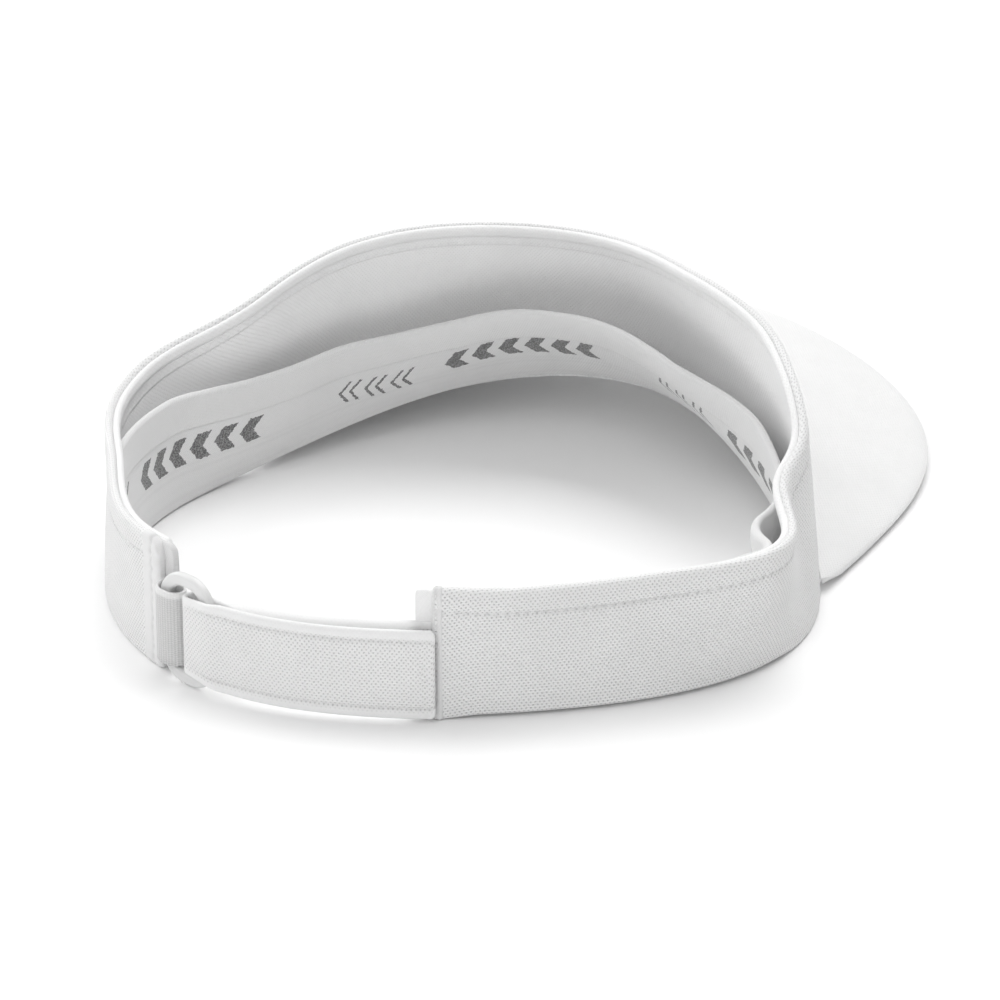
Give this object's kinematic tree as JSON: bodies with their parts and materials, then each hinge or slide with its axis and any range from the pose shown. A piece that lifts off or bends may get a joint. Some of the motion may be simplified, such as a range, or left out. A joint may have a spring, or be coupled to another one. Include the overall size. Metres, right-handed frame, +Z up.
{
  "type": "sun visor",
  "caption": "Open-topped fabric sun visor with a curved bill, inner sweatband and an adjustable hook-and-loop back strap through a ring buckle.",
  "frame": {"origin": "middle of the head opening, in the plane of the table that the visor stands on", "axes": "+Z up, -Y along the bill, +X towards the wearer's left"},
  "size_m": [0.2057, 0.2719, 0.0707],
  "materials": {
    "white_knit": "matte dimpled knit",
    "lining_cloth": "matte fine weave",
    "sweatband_cloth": "matte brushed knit",
    "elastic_foam": "matte elastic core",
    "buckram": "matte stiff open weave",
    "board_plastic": "matte",
    "binding_tape": "smooth matte tape",
    "grey_elastic": "ribbed elastic webbing",
    "ring_plastic": "translucent satin",
    "hook_tape": "fine hooks",
    "loop_tape": "brushed loops"
  },
  "bodies": {
    "band": {"shell_fabric": "white_knit", "front_buckram": "buckram", "band_lining": "lining_cloth", "bill_seam_tape": "binding_tape", "sweatband_back": "sweatband_cloth", "sweatband_core": "elastic_foam", "sweatband_face": "sweatband_cloth", "bill_board": "board_plastic", "bill_top_cover": "white_knit", "bill_under_cover": "white_knit", "bill_edge_roll": "white_knit", "left_end_binding": "binding_tape", "right_end_binding": "binding_tape", "elastic_tab": "grey_elastic", "strap_base": "white_knit", "loop_patch": "loop_tape"},
    "ring": {"ring_buckle": "ring_plastic", "strap_fold": "white_knit"},
    "strap_tail": {"strap_flap": "white_knit", "hook_patch": "hook_tape"}
  },
  "joints": [
    {"name": "ring_swivel", "type": "hinge", "parent": "band", "child": "ring", "pos_m": [0.03542, 0.09202, 0], "axis": [0, 0, -1], "range_deg": [0, 20]},
    {"name": "strap_peel", "type": "hinge", "parent": "ring", "child": "strap_tail", "pos_m": [0.01708, 0.09973, 0], "axis": [0, 0, -1], "range_deg": [0, 150]}
  ]
}
